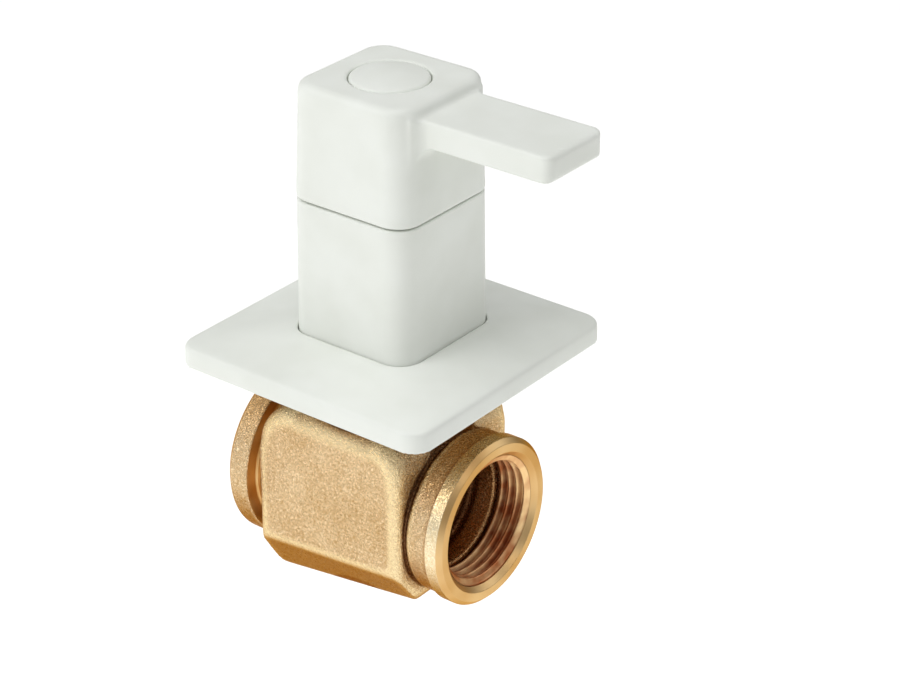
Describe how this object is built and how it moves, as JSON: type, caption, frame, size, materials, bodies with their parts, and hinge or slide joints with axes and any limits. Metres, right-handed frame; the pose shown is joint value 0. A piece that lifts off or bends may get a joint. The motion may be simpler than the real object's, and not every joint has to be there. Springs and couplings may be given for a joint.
{
  "type": "flush cock",
  "caption": "Concealed flush cock: cast brass body with female threaded ends, white square wall plate and sleeve, and a lever handle that turns a ceramic disc valve.",
  "frame": {"origin": "on the spindle axis, in the plane of the finished wall, where the wall plate's rim rests", "axes": "+Z out of the wall along the spindle towards the handle, +X the way the water leaves, where the open lever points"},
  "size_m": [0.0886, 0.073, 0.1346],
  "materials": {
    "cast_brass": "bead-blasted casting with turned ends",
    "turned_brass": "turned",
    "white_paint": "satin white powder coat",
    "white_plastic": "moulded",
    "disc_ceramic": "lapped ceramic",
    "seal_rubber": "moulded",
    "screw_steel": "bright"
  },
  "bodies": {
    "root": {"valve_body": "cast_brass", "headwork_body": "turned_brass", "headwork_seal": "seal_rubber", "fixed_disc": "disc_ceramic", "seat_seal": "seal_rubber", "sleeve_carrier": "white_plastic", "sleeve_ring": "seal_rubber", "sleeve": "white_paint", "guide_bush": "white_plastic"},
    "turning": {"handle_lever": "white_paint", "index_cap": "white_paint", "handle_screw": "screw_steel", "handle_insert": "turned_brass", "spindle_extension": "turned_brass", "grub_screw": "screw_steel", "spindle": "turned_brass", "rotating_disc": "disc_ceramic", "spindle_ring_upper": "seal_rubber", "spindle_ring_lower": "seal_rubber", "thrust_washer": "white_plastic", "circlip": "screw_steel"},
    "plate": {"wall_plate": "white_paint", "plate_seal": "seal_rubber", "plate_gasket": "seal_rubber"}
  },
  "joints": [
    {"name": "handle_turn", "type": "hinge", "parent": "root", "child": "turning", "pos_m": [0, 0, 0.03], "axis": [0, 0, 1], "range_deg": [-90, 0]},
    {"name": "plate_slide", "type": "slide", "parent": "root", "child": "plate", "axis": [0, 0, 1], "range_m": [0, 0.03]}
  ]
}
